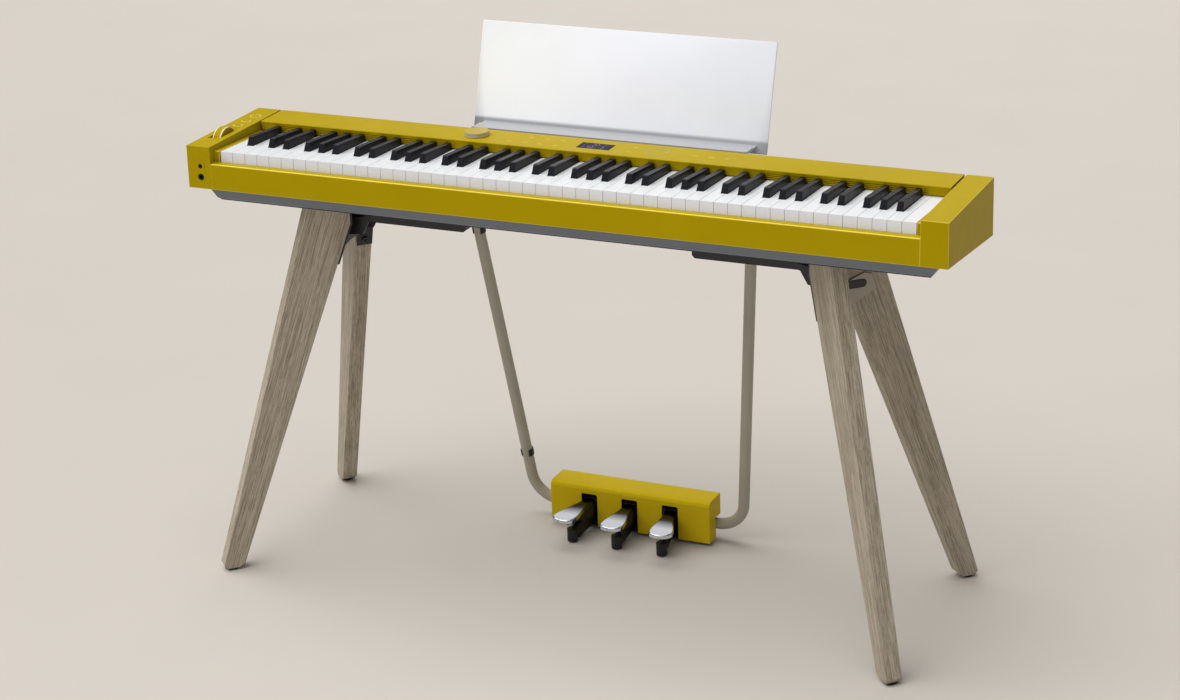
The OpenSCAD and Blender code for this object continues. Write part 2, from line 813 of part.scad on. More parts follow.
module support_frame(i) {
    translate([i * pedal_pitch, at(box_front), 0])
        rotate([0, 0, i * pedal_fan * support_turn]) children();
}

module pedal_supports() {
    color(black) for (i = [-1:1]) {
        support_frame(i) {
            along_x(-web_half, web_half, [
                [25, 9.2], [0, 9.2], [-42, 3], [-46, 3], [-46, 12], [foot_back, 12],
                [foot_back, 24], [-46, 28], [0, 36], [25, 38]]);
            translate([0, foot_back, 0]) {
                cylinder(r1 = 6, r2 = 9.5, h = 2.4);
                translate([0, 0, 2.4]) cylinder(r = 9.5, h = 22.6);
            }
        }
        pedal_frame(i) {
            box(-ear_half, ear_half, 8, 22, 9.2, 14);
            for (side = [-1, 1]) difference() {
                mirror([(1 - side) / 2, 0, 0]) along_x(lever_half + 0.5, ear_half, [
                    [8, 9.2], [22, 9.2], [22, 48], [43, 50], [43, 70], [28, 74], [8, 60]]);
                translate([-20, pivot_back, pivot_z]) rotate([0, 90, 0])
                    cylinder(r = pin_r + 0.02, h = 40);
            }
        }
    }
}

module pedal_pins() {
    color(steel) for (i = [-1:1]) pedal_frame(i) translate([-ear_half + 0.1, pivot_back, pivot_z])
        rotate([0, 90, 0]) cylinder(r = pin_r, h = 2 * ear_half - 0.2);
}

pad_back = 4;
pad_len = 98;
pad_t = 7.5;
pad_z = 51.1;
pad_slope = 2.1;
pad_tip_w = 21.5;
pad_root_w = 9.5;
pad_round = 15;

// height of the lever's top where the pad lies on it
function under_pad(y) = pad_z + (y - pad_back) * tan(pad_slope) - 0.05;

// half width of the pad, t from 0 at its root to 1 where its round end starts
function pad_half(t) =
    pad_root_w + (pad_tip_w - pad_root_w) * (1 - cos(180 * max(0, (t - 0.12) / 0.88))) / 2;

function pad_side(sign) = [for (i = [0:12]) [sign * pad_half(i / 12), -(pad_len - pad_round) * i / 12]];

function pad_end() = [for (i = [1:11])
    [pad_tip_w * cos(15 * i), -(pad_len - pad_round) - pad_round * sin(15 * i)]];

function reversed(list) = [for (i = [len(list) - 1:-1:0]) list[i]];

module pedal_pad(i) {
    color("#d9dce0") pedal_frame(i) translate([0, pad_back, pad_z]) rotate([pad_slope, 0, 0])
        difference() {
            linear_extrude(pad_t) polygon(concat(pad_side(1), pad_end(), reversed(pad_side(-1))));
            // small notch in the tip's edge
            box(-3, 3, -pad_len - 1, -pad_len + 1.4, -1, 3.6);
        }
}

module pedal_lever(i) {
    roof = [[44, 69], [44, 62], [30, 56], [8, 45], [-20, 39], [-80, 41], [-80, under_pad(-80)],
        [4.5, under_pad(4.5)], [4.5, 58.5], [10, 60], [28, 69]];
    skirt = [[6, 42], [3, 28], [-30, 30], [-46, 36], [-80, 41], [-80, 45], [-20, 45], [8, 50]];
    color(ebony) pedal_frame(i) difference() {
        union() {
            along_x(-lever_half, lever_half, roof);
            for (side = [-1, 1])
                along_x(side > 0 ? skirt_in : -lever_half, side > 0 ? lever_half : -skirt_in, skirt);
            translate([-lever_half, pivot_back, pivot_z]) rotate([0, 90, 0])
                cylinder(r = 7, h = 2 * lever_half);
        }
        translate([-20, pivot_back, pivot_z]) rotate([0, 90, 0]) cylinder(r = pin_r + 0.05, h = 40);
    }
}

module left_pedal_pad() { pedal_pad(-1); }
module left_pedal_lever() { pedal_lever(-1); }
module middle_pedal_pad() { pedal_pad(0); }
module middle_pedal_lever() { pedal_lever(0); }
module right_pedal_pad() { pedal_pad(1); }
module right_pedal_lever() { pedal_lever(1); }

// cable clips on the left tube, and the saddles that hold the box on the tube
module tube_clips() {
    length = norm(tube_low - tube_high);
    color(black) {
        mirror([1, 0, 0]) for (t = [0.103, 0.845]) {
            middle = tube_high + fall * length * t;
            difference() {
                rod(middle - fall * 6, middle + fall * 6, tube_r + 1.8);
                rod(middle - fall * 9, middle + fall * 9, straight_r + 0.02);
                // the clip is open toward the player
                translate(middle + [-7.2, -20, -12]) cube([14.4, 16, 24]);
            }
        }
        both_sides() difference() {
            box(104, 124, at(box_front + step_d) + 0.1, at(box_front + box_depth), 18, step_z - 0.1);
            rod([90, tube_low[1], tube_low[2]], [140, tube_low[1], tube_low[2]], straight_r + 0.02);
        }
    }
}

// ---------- music rest ----------
rest_gap = 3.5;
rest_crease = 294;
rest_t = 4;
ledge_half = 251;
tongue_x = 150;
tongue_w = 60;
tongue_y = 252;

module music_rest() {
    low = 15;
    length = (rest_h + low) / cos(rest_lean);
    color("#dfe3ea") {
        translate([-rest_w / 2, at(rest_crease) - low * tan(rest_lean), top_z - low])
            rotate([-rest_lean, 0, 0]) cube([rest_w, rest_t, length]);
        along_x(-ledge_half, ledge_half, [
            [at(body_d + rest_gap), top_z - 5], [at(body_d + rest_gap), top_z + 1.5],
            [at(body_d + rest_gap + 3), top_z + 1.5], [at(body_d + rest_gap + 5), top_z],
            [at(274), top_z], [at(278), top_z - 2], [at(rest_crease - 0.5), top_z - 2],
            [at(rest_crease - 1), top_z - 5]]);
        both_sides() box(tongue_x - tongue_w / 2, tongue_x + tongue_w / 2, at(tongue_y), at(tongue_y + 4),
            top_z - 50, top_z - 4);
    }
}

module rest_holders() {
    color(black) both_sides() difference() {
        box(tongue_x - tongue_w / 2 - 5, tongue_x + tongue_w / 2 + 5, at(body_d), at(tongue_y + 8),
            top_z - 56, top_z - 10);
        box(tongue_x - tongue_w / 2 - 0.5, tongue_x + tongue_w / 2 + 0.5, at(tongue_y - 0.5),
            at(tongue_y + 4.5), top_z - 50.5, top_z);
    }
}

lower_case();
base_plate();
left_end_block();
left_end_cap();
right_end_block();
key_cheeks();
front_rail();
top_panel();
rear_panel();
terminal_plate();
rest_holders();
display_window();
touch_icons();
headphone_plate();
headphone_jacks();
key_chassis();
key_pivot_rail();
key_felt();
circuit_boards();
speakers();
left_bracket();
right_bracket();
front_left_leg();
front_right_leg();
rear_left_leg();
rear_right_leg();
foot_pads();
leg_plates();
stand_bolts();
pedal_tube_left();
pedal_tube_right();
pedal_tube_base();
tube_clips();
pedal_box();
pedal_box_back();
pedal_supports();
pedal_pins();
volume_knob();
pitch_wheel();
power_button();
control_button_1();
control_button_2();
music_rest();
left_pedal_pad();
left_pedal_lever();
middle_pedal_pad();
middle_pedal_lever();
right_pedal_pad();
right_pedal_lever();
bass_white_keys();
bass_black_keys();
treble_white_keys();
treble_black_keys();
key_c4();
key_c_sharp_4();
key_d4();
key_d_sharp_4();
key_e4();
key_f4();
key_f_sharp_4();
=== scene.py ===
"""Looks of the digital piano on its wooden stand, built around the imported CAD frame."""

import json
import math

import bmesh
import bpy
from mathutils import Matrix, Vector


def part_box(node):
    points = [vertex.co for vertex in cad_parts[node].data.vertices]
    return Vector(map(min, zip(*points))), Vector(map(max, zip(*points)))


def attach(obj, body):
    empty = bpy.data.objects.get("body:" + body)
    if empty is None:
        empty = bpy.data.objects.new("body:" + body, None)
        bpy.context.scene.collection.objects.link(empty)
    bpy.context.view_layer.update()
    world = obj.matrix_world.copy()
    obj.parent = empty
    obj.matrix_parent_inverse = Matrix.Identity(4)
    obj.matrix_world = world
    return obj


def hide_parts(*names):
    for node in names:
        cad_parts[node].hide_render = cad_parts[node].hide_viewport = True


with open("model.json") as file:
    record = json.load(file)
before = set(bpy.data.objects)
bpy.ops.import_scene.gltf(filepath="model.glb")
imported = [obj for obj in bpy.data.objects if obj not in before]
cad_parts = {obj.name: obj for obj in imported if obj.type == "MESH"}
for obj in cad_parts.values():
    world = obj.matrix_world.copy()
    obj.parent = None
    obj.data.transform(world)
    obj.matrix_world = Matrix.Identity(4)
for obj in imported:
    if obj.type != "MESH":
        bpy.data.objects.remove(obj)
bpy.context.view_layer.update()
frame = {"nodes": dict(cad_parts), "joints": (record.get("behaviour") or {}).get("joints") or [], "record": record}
nodes = frame["nodes"]
scene = bpy.context.scene
MM = 0.001


# ---------------------------------------------------------------- camera
CAMERA_PLACE = (1.7743, -3.7831, 2.0080)
CAMERA_AZIMUTH = 25.03
CAMERA_ELEVATION = 20.92
CAMERA_ROLL = -2.13
CAMERA_LENS = 81.15


def make_camera():
    data = bpy.data.cameras.new("camera")
    data.lens = CAMERA_LENS
    data.sensor_width = 36.0
    data.dof.use_dof = False
    camera = bpy.data.objects.new("camera", data)
    scene.collection.objects.link(camera)
    azimuth = math.radians(CAMERA_AZIMUTH)
    tilt = math.radians(90 - CAMERA_ELEVATION)
    turn = Matrix.Rotation(azimuth, 4, "Z") @ Matrix.Rotation(tilt, 4, "X")
    roll = Matrix.Rotation(math.radians(CAMERA_ROLL), 4, "Z")
    camera.matrix_world = Matrix.Translation(CAMERA_PLACE) @ turn @ roll
    scene.camera = camera


# ---------------------------------------------------------------- studio
SUN_FROM = (-0.35, -0.12, 0.92)
SUN_STRENGTH = 3.25
SUN_ANGLE = 75
SKY_STRENGTH = 0.20
BACK_SOFTBOX = {"place": (-1.6, 5.6, 3.4), "target": (0, 0, 0.6), "size": (4.0, 3.0), "power": 24}
LOW_SOFTBOX = {"place": (0.1, -2.1, 0.9), "target": (0, -0.15, 0), "size": (1.8, 0.8), "power": 4}
FLOOR_REACH = 40


def area_light(name, place, target, size, power):
    data = bpy.data.lights.new(name, "AREA")
    data.shape = "RECTANGLE"
    data.size, data.size_y = size
    data.energy = power
    light = bpy.data.objects.new(name, data)
    light.location = place
    light.rotation_mode = "QUATERNION"
    light.rotation_quaternion = (Vector(target) - Vector(place)).to_track_quat("-Z", "Y")
    light.visible_camera = False
    scene.collection.objects.link(light)


def make_studio():
    scene.view_settings.view_transform = "Standard"
    world = bpy.data.worlds.new("studio")
    world.use_nodes = True
    background = world.node_tree.nodes["Background"]
    background.inputs["Color"].default_value = (1, 1, 1, 1)
    background.inputs["Strength"].default_value = SKY_STRENGTH
    scene.world = world
    sun = bpy.data.lights.new("soft_sun", "SUN")
    sun.energy = SUN_STRENGTH
    sun.angle = math.radians(SUN_ANGLE)
    lamp = bpy.data.objects.new("soft_sun", sun)
    lamp.rotation_mode = "QUATERNION"
    lamp.rotation_quaternion = (-Vector(SUN_FROM)).to_track_quat("-Z", "Y")
    scene.collection.objects.link(lamp)
    area_light("back_softbox", **BACK_SOFTBOX)
    area_light("low_softbox", **LOW_SOFTBOX)
    mesh = bpy.data.meshes.new("floor")
    corners = [(-1, -1), (1, -1), (1, 1), (-1, 1)]
    points = [(FLOOR_REACH * x, FLOOR_REACH * y, 0) for x, y in corners]
    mesh.from_pydata(points, [], [(0, 1, 2, 3)])
    floor = bpy.data.objects.new("floor", mesh)
    scene.collection.objects.link(floor)
    floor.data.materials.append(floor_material())


# ---------------------------------------------------------------- materials
class Graph:
    """Short names for building a material's node tree."""

    def __init__(self, name):
        self.material = bpy.data.materials.new(name)
        self.material.use_nodes = True
        self.tree = self.material.node_tree
        self.shader = self.tree.nodes["Principled BSDF"]
        self.place = self.add("ShaderNodeTexCoord").outputs["Object"]

    def add(self, kind, **settings):
        node = self.tree.nodes.new(kind)
        for key, value in settings.items():
            setattr(node, key, value)
        return node

    def link(self, output, target):
        self.tree.links.new(output, target)

    def colour(self, output):
        self.link(output, self.shader.inputs["Base Color"])

    def rough(self, output):
        self.link(output, self.shader.inputs["Roughness"])

    def set(self, **values):
        for key, value in values.items():
            self.shader.inputs[key.replace("_", " ")].default_value = value

    def mapped(self, scale=(1, 1, 1), rotation=(0, 0, 0), vector=None):
        node = self.add("ShaderNodeMapping", vector_type="TEXTURE")
        self.link(vector or self.place, node.inputs["Vector"])
        node.inputs["Rotation"].default_value = rotation
        node.inputs["Scale"].default_value = scale
        return node.outputs["Vector"]

    def noise(self, scale, detail=3, rough=0.5, vector=None, distort=0.0):
        node = self.add("ShaderNodeTexNoise")
        self.link(vector or self.place, node.inputs["Vector"])
        node.inputs["Scale"].default_value = scale
        node.inputs["Detail"].default_value = detail
        node.inputs["Roughness"].default_value = rough
        node.inputs["Distortion"].default_value = distort
        return node.outputs["Fac"]

    def axis(self, name, vector=None):
        node = self.add("ShaderNodeSeparateXYZ")
        self.link(vector or self.place, node.inputs["Vector"])
        return node.outputs[name]

    def ramp(self, value, stops, interpolation="LINEAR"):
        node = self.add("ShaderNodeValToRGB")
        node.color_ramp.interpolation = interpolation
        elements = node.color_ramp.elements
        while len(elements) < len(stops):
            elements.new(0.5)
        for element, (position, colour) in zip(elements, stops):
            element.position = position
            element.color = (*colour, 1)
        self.link(value, node.inputs["Fac"])
        return node.outputs["Color"]

    def span(self, value, low, high, start=0.0, end=1.0):
        node = self.add("ShaderNodeMapRange")
        self.link(value, node.inputs["Value"])
        node.inputs["From Min"].default_value = start
        node.inputs["From Max"].default_value = end
        node.inputs["To Min"].default_value = low
        node.inputs["To Max"].default_value = high
        return node.outputs["Result"]

    def math(self, operation, first, second):
        node = self.add("ShaderNodeMath", operation=operation)
        for socket, value in zip(node.inputs, (first, second)):
            if isinstance(value, bpy.types.NodeSocket):
                self.link(value, socket)
            else:
                socket.default_value = value
        return node.outputs["Value"]

    def within(self, value, centre, reach):
        """1 where the value lies within reach of the centre, else 0."""
        away = self.math("ABSOLUTE", self.math("SUBTRACT", value, centre), 0)
        return self.math("LESS_THAN", away, reach)

    def mix(self, factor, first, second, blend="MIX"):
        node = self.add("ShaderNodeMix", data_type="RGBA", blend_type=blend)
        sockets = {"Factor_Float": factor, "A_Color": first, "B_Color": second}
        for socket in node.inputs:
            value = sockets.get(socket.identifier)
            if value is None:
                continue
            if isinstance(value, bpy.types.NodeSocket):
                self.link(value, socket)
            else:
                socket.default_value = (*value, 1) if isinstance(value, tuple) else value
        return next(s for s in node.outputs if s.identifier == "Result_Color")

    def bump(self, height, strength, distance=0.001):
        node = self.add("ShaderNodeBump")
        node.inputs["Strength"].default_value = strength
        node.inputs["Distance"].default_value = distance
        self.link(height, node.inputs["Height"])
        self.link(node.outputs["Normal"], self.shader.inputs["Normal"])


def tones(colour, spread):
    """The colour a little darker and a little lighter, as the two ends of a ramp."""
    low = tuple(c * (1 - spread) for c in colour)
    high = tuple(min(c * (1 + spread), 1) for c in colour)
    return [(0.3, low), (0.7, high)]


def floor_material():
    g = Graph("floor_paper")
    g.colour(g.ramp(g.noise(3, 2), tones((0.575, 0.533, 0.479), 0.01)))
    g.set(Roughness=0.95, Specular_IOR_Level=0.1)
    g.bump(g.noise(600, 3), 0.05)
    return g.material


def plastic(name, colour, rough, grain=1400, bump=0.06, vary=0.03, specular=0.3, tint=(1, 1, 1)):
    """Moulded plastic: a fine moulded grain, and faint variations in tone and gloss."""
    g = Graph(name)
    g.colour(g.ramp(g.noise(9, 4), tones(colour, vary)))
    g.rough(g.span(g.noise(45, 4), rough * 0.9, rough * 1.12, 0.3, 0.7))
    g.set(Specular_IOR_Level=specular, Specular_Tint=(*tint, 1))
    g.bump(g.noise(grain, 2, 0.6), bump, 0.0004)
    return g.material


def painted_metal(name, colour, rough):
    """Powder coat: a soft orange peel over steel."""
    g = Graph(name)
    g.colour(g.ramp(g.noise(14, 3), tones(colour, 0.06)))
    g.rough(g.span(g.noise(120, 3), rough * 0.88, rough * 1.12, 0.3, 0.7))
    g.bump(g.noise(700, 3, 0.55), 0.12, 0.0005)
    return g.material


def brushed_steel():
    g = Graph("bright_steel")
    g.set(Metallic=1.0)
    streaks = g.noise(900, 3, vector=g.mapped((1, 0.02, 1)))
    g.colour(g.ramp(streaks, tones((0.60, 0.60, 0.61), 0.06)))
    g.rough(g.span(streaks, 0.24, 0.40, 0.3, 0.7))
    g.bump(streaks, 0.1, 0.0002)
    return g.material


# how far along the pad from its root the painted reflection of the dark slot on the neck starts to fade, and where
# it ends
NECK_DARK = 0.42
NECK_BRIGHT = 0.72


def chrome():
    """Polished plating, faintly clouded by shoes, with a painted reflection of the dark slot darkening the pad's
    narrow neck.
    """
    g = Graph("pedal_chrome")
    g.set(Metallic=1.0)
    cloud = g.noise(70, 4)
    low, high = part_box("middle_pedal_pad")
    root, length = high[1], high[1] - low[1]
    neck_painted_reflection = g.span(g.axis("Y"), 0.0, 1.0, root - NECK_BRIGHT * length, root - NECK_DARK * length)
    # the near-black colour is a painted reflection of the dark slot, laid over the pad's neck
    g.colour(g.mix(neck_painted_reflection, g.ramp(cloud, tones((0.66, 0.68, 0.72), 0.02)), (0.045, 0.045, 0.055)))
    g.rough(g.span(cloud, 0.12, 0.20, 0.3, 0.7))
    g.bump(g.noise(260, 2), 0.015, 0.0003)
    return g.material


def ivory():
    """Key plastic: white tops, with the faces turned to the front painted a brighter, cooler white as painted
    light.
    """
    g = Graph("ivory_key")
    cloud = g.ramp(g.noise(9, 4), tones((0.800, 0.810, 0.815), 0.012))
    normal = g.add("ShaderNodeNewGeometry").outputs["Normal"]
    # painted light: faces turned to the front are painted brighter and cooler than the tops
    front_painted_light = g.span(g.axis("Y", normal), 1.0, 0.0, -0.9, -0.5)
    g.colour(g.mix(front_painted_light, cloud, (0.870, 0.895, 1.000)))
    g.rough(g.span(g.noise(45, 4), 0.29, 0.37, 0.3, 0.7))
    g.set(Specular_IOR_Level=0.3)
    g.bump(g.noise(1800, 2, 0.6), 0.02, 0.0004)
    return g.material


def oak(name, turn, lean):
    """Grey-stained oak, its grain along a leg that leans by lean in the plane turned by turn."""
    g = Graph(name)
    rotation = (0, -lean, turn)
    along = g.mapped((1, 1, 1), rotation)
    fine = g.noise(1.0, 6, 0.62, g.mapped((0.0020, 0.0020, 0.16), vector=along), 0.2)
    broad = g.noise(1.0, 4, 0.5, g.mapped((0.010, 0.010, 0.45), vector=along), 0.7)
    pores = g.noise(1.0, 3, 0.7, g.mapped((0.0008, 0.0008, 0.022), vector=along))
    base = g.ramp(broad, [(0.30, (0.415, 0.355, 0.270)), (0.50, (0.490, 0.425, 0.332)),
                          (0.72, (0.555, 0.488, 0.390))])
    streak = g.ramp(fine, [(0.36, (0.58, 0.56, 0.53)), (0.50, (0.94, 0.94, 0.93)),
                           (0.66, (1.16, 1.16, 1.15))])
    dark = g.ramp(pores, [(0.38, (0.42, 0.39, 0.34)), (0.49, (1, 1, 1))])
    shade = g.mix(1.0, base, streak, "MULTIPLY")
    g.colour(g.mix(0.75, shade, dark, "MULTIPLY"))
    g.rough(g.span(fine, 0.62, 0.48, 0.3, 0.7))
    g.set(Specular_IOR_Level=0.35)
    g.bump(g.mix(0.5, streak, dark, "MULTIPLY"), 0.3, 0.0005)
    return g.material


# heights above the top panel between which the ledge's grey, run up the sheet as painted shade in the crease,
# turns into the sheet's tone
CREASE_LOW = 2 * MM
CREASE_HIGH = 7 * MM


def frosted_sheet():
    """Milky acrylic of the music rest, with painted light: it glows faintly, it is painted lighter on the left and
    darker towards the right, and the ledge's grey runs up the sheet's foot as painted shade in the crease.
    """
    g = Graph("rest_acrylic")
    low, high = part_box("music_rest")
    panel_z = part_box("top_panel")[1][2]
    across = g.span(g.axis("X"), 0.0, 1.0, low[0], high[0])
    # painted light: the sheet is painted brightest on the left and darker towards the right
    sheet_painted_light = g.ramp(across, [(0.0, (0.93, 0.945, 0.945)), (0.5, (0.820, 0.830, 0.880)),
                            (1.0, (0.71, 0.725, 0.770))])
    cloud = g.ramp(g.noise(14, 3), tones((0.985, 0.985, 0.985), 0.012))
    # the ledge is grey, and the grey runs up the foot of the sheet as painted shade in the crease
    ledge_grey_and_crease_shade = g.span(g.axis("Z"), 0.0, 1.0, panel_z + CREASE_LOW, panel_z + CREASE_HIGH)
    tone = g.mix(ledge_grey_and_crease_shade, (0.36, 0.366, 0.382), g.mix(1.0, sheet_painted_light, cloud, "MULTIPLY"))
    g.colour(tone)
    # painted light: the sheet's own tone is sent out as a faint glow, though the rest is no lamp
    g.link(tone, g.shader.inputs["Emission Color"])
    g.set(Emission_Strength=0.17, Specular_IOR_Level=0.3)
    g.rough(g.span(g.noise(80, 3), 0.34, 0.42, 0.3, 0.7))
    g.bump(g.noise(900, 2), 0.03, 0.0003)
    return g.material


DISPLAY_COLUMNS = 7
DISPLAY_ROWS = 7
DISPLAY_HALF_WIDTH = 0.40
DISPLAY_HALF_HEIGHT = 0.34


def display_glass():
    """Dark window with rows of faint generic segments behind it."""
    g = Graph("display_glass")
    low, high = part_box("display_window")
    size = [b - a for a, b in zip(low, high)]
    across = g.span(g.axis("X"), 0.0, 1.0, low[0], high[0])
    up = g.span(g.axis("Y"), 0.0, 1.0, low[1], high[1])
    bricks = g.add("ShaderNodeTexBrick", offset=0.5, squash=1.0)
    g.link(g.place, bricks.inputs["Vector"])
    settings = {"Color1": (1, 1, 1, 1), "Color2": (0.25, 0.25, 0.25, 1), "Mortar": (0, 0, 0, 1),
                "Scale": 1.0, "Mortar Size": 1.1 * MM, "Brick Width": size[0] / DISPLAY_COLUMNS,
                "Row Height": size[1] / DISPLAY_ROWS}
    for key, value in settings.items():
        bricks.inputs[key].default_value = value
    inside = g.math("MULTIPLY", g.within(across, 0.5, DISPLAY_HALF_WIDTH),
                    g.within(up, 0.5, DISPLAY_HALF_HEIGHT))
    lit = g.math("MULTIPLY", bricks.outputs["Color"], inside)
    patch = g.span(g.noise(170, 1), 0.0, 1.0, 0.50, 0.66)
    glow = g.math("MULTIPLY", lit, patch)
    g.colour(g.mix(glow, (0.008, 0.005, 0.022), (0.46, 0.38, 0.56)))
    g.rough(g.span(g.noise(60, 2), 0.16, 0.24, 0.3, 0.7))
    g.set(Specular_IOR_Level=0.02)
    return g.material


def knob_plastic():
    """The knob's top is coloured as the case; its turned side is a warm grey with fine ribs."""
    g = Graph("knob_plastic")
    low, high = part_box("volume_knob")
    top = g.span(g.axis("Z"), 0.0, 1.0, high[2] - 0.9 * MM, high[2] - 0.4 * MM)
    side = g.ramp(g.noise(40, 3), tones((0.56, 0.56, 0.50), 0.04))
    g.colour(g.mix(top, side, g.ramp(g.noise(12, 3), tones((0.46, 0.325, 0.008), 0.03))))
    g.rough(g.span(g.noise(60, 3), 0.30, 0.38, 0.3, 0.7))
    g.bump(g.noise(1400, 2), 0.05, 0.0003)
    return g.material


def icon_print():
    """Pale printed marks, and a grey touch ring, which reaches furthest back of them all."""
    g = Graph("icon_print")
    low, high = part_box("touch_icons")
    outline = [v.co for v in nodes["touch_icons"].data.vertices]
    ring_x = max(outline, key=lambda p: p.y).x
    inside = g.within(g.axis("X"), ring_x, (high[1] - low[1]) / 2 + 1 * MM)
    mark = g.ramp(g.noise(60, 2), tones((0.66, 0.54, 0.05), 0.03))
    g.colour(g.mix(inside, mark, (0.36, 0.34, 0.13)))
    g.rough(g.span(g.noise(90, 2), 0.40, 0.52, 0.3, 0.7))
    g.bump(g.noise(900, 2), 0.02, 0.0003)
    return g.material


def button_ring():
    """Pale yellow moulding of the rings around the buttons."""
    g = Graph("button_ring")
    g.colour(g.ramp(g.noise(60, 2), tones((0.88, 0.74, 0.16), 0.03)))
    g.rough(g.span(g.noise(90, 2), 0.30, 0.40, 0.3, 0.7))
    g.bump(g.noise(900, 2), 0.02, 0.0003)
    return g.material


def felt():
    """Red felt under the keys, with a short nap."""
    g = Graph("red_felt")
    g.colour(g.ramp(g.noise(900, 4), [(0.3, (0.17, 0.012, 0.012)), (0.7, (0.30, 0.03, 0.03))]))
    g.set(Roughness=0.95, Sheen_Weight=0.4)
    g.bump(g.noise(2500, 4), 0.5, 0.0006)
    return g.material


def circuit_board():
    """Green lacquer over a pattern of square pads."""
    g = Graph("circuit_board")
    voronoi = g.add("ShaderNodeTexVoronoi", distance="CHEBYCHEV")
    g.link(g.place, voronoi.inputs["Vector"])
    voronoi.inputs["Scale"].default_value = 140
    cells = voronoi.outputs["Distance"]
    g.colour(g.ramp(cells, [(0.30, (0.012, 0.09, 0.035)), (0.42, (0.02, 0.15, 0.06))]))
    g.set(Roughness=0.35)
    g.bump(cells, 0.1)
    return g.material


MUSTARD = (0.450, 0.325, 0.0030)
MUSTARD_SHEEN = (1.0, 0.82, 0.12)
LEG_TURN = math.radians(44)
LEG_LEAN = math.atan(0.35)


def make_materials():
    return {
        "mustard": plastic("mustard_plastic", MUSTARD, 0.38, specular=0.04, tint=MUSTARD_SHEEN),
        # painted highlight: a lighter mustard laid on the rounded edges of the casing
        "mustard_edge": plastic("mustard_edge", (0.84, 0.67, 0.070), 0.26, specular=0.5,
                                tint=MUSTARD_SHEEN),
        "case_grey": plastic("case_grey_plastic", (0.178, 0.197, 0.228), 0.5, 900, 0.12),
        "black_plastic": plastic("black_plastic", (0.014, 0.014, 0.015), 0.42, 900, 0.10),
        "ivory": ivory(),
        "ebony": plastic("ebony_key", (0.009, 0.009, 0.013), 0.36, grain=700, bump=0.14, vary=0.1,
                         specular=0.2),
        "display": display_glass(),
        "icon_print": icon_print(),
        "button_ring": button_ring(),
        # painted highlight: the pitch wheel's rims are painted a pale cream
        "wheel_rim": plastic("wheel_rim", (0.86, 0.80, 0.52), 0.3),
        "rubber_black": plastic("black_rubber", (0.016, 0.016, 0.016), 0.75, 500, 0.25),
        "black_steel": painted_metal("black_steel", (0.010, 0.010, 0.012), 0.42),
        "tube_paint": painted_metal("taupe_paint", (0.40, 0.365, 0.295), 0.40),
        "steel": brushed_steel(),
        "pedal_chrome": chrome(),
        "rest_sheet": frosted_sheet(),
        "felt": felt(),
        "board": circuit_board(),
    }


def dress_nodes(made):
    """Gives every CAD node its slot's material, and some nodes one of their own."""
    # the pedal box takes the case's mustard painted lighter, as painted light on a part that sits low in the
    # case's shade
    own = {"volume_knob": knob_plastic(),
           "pedal_box": plastic("pedal_box_painted_light", (0.63, 0.450, 0.010), 0.36, specular=0.04,
                                tint=MUSTARD_SHEEN)}
    for name, (sx, sy) in {"front_left_leg": (-1, -1), "front_right_leg": (1, -1),
                           "rear_left_leg": (-1, 1), "rear_right_leg": (1, 1)}.items():
        turn = math.atan2(sy * math.sin(LEG_TURN), sx * math.cos(LEG_TURN))
        own[name] = oak(name + "_oak", turn, LEG_LEAN)
    for part in frame["record"]["subparts"]:
        name = part["node"]
        mesh = nodes[name].data
        mesh.materials.clear()
        mesh.materials.append(own.get(name) or made[part["material_slot"]])


# ---------------------------------------------------------------- edges of the CAD nodes
# nodes whose rounded edges are painted a lighter mustard, as a painted highlight
BRIGHT_EDGED = ("left_end_block", "right_end_block", "left_end_cap", "front_rail", "top_panel",
                "key_cheeks")
WELD_REACH = 0.02 * MM
FLAT_WITHIN = math.radians(0.5)
BEVEL_ABOVE = math.radians(30)
BEVEL_SEGMENTS = 3


def round_edges(name, width, edge_highlight_material):
    """Modifiers that weld a CAD node's facets back together and round its sharp edges.

    The coloured casing is painted a lighter shade along its rounded edges, as a painted highlight."""
    node = nodes[name]
    weld = node.modifiers.new("weld", "WELD")
    weld.merge_threshold = WELD_REACH
    flat = node.modifiers.new("flat", "DECIMATE")
    flat.decimate_type = "DISSOLVE"
    flat.angle_limit = FLAT_WITHIN
    bevel = node.modifiers.new("bevel", "BEVEL")
    bevel.width = width
    bevel.segments = BEVEL_SEGMENTS
    bevel.limit_method = "ANGLE"
    bevel.angle_limit = BEVEL_ABOVE
    bevel.harden_normals = True
    if name in BRIGHT_EDGED:
        node.data.materials.append(edge_highlight_material)
        bevel.material = 1


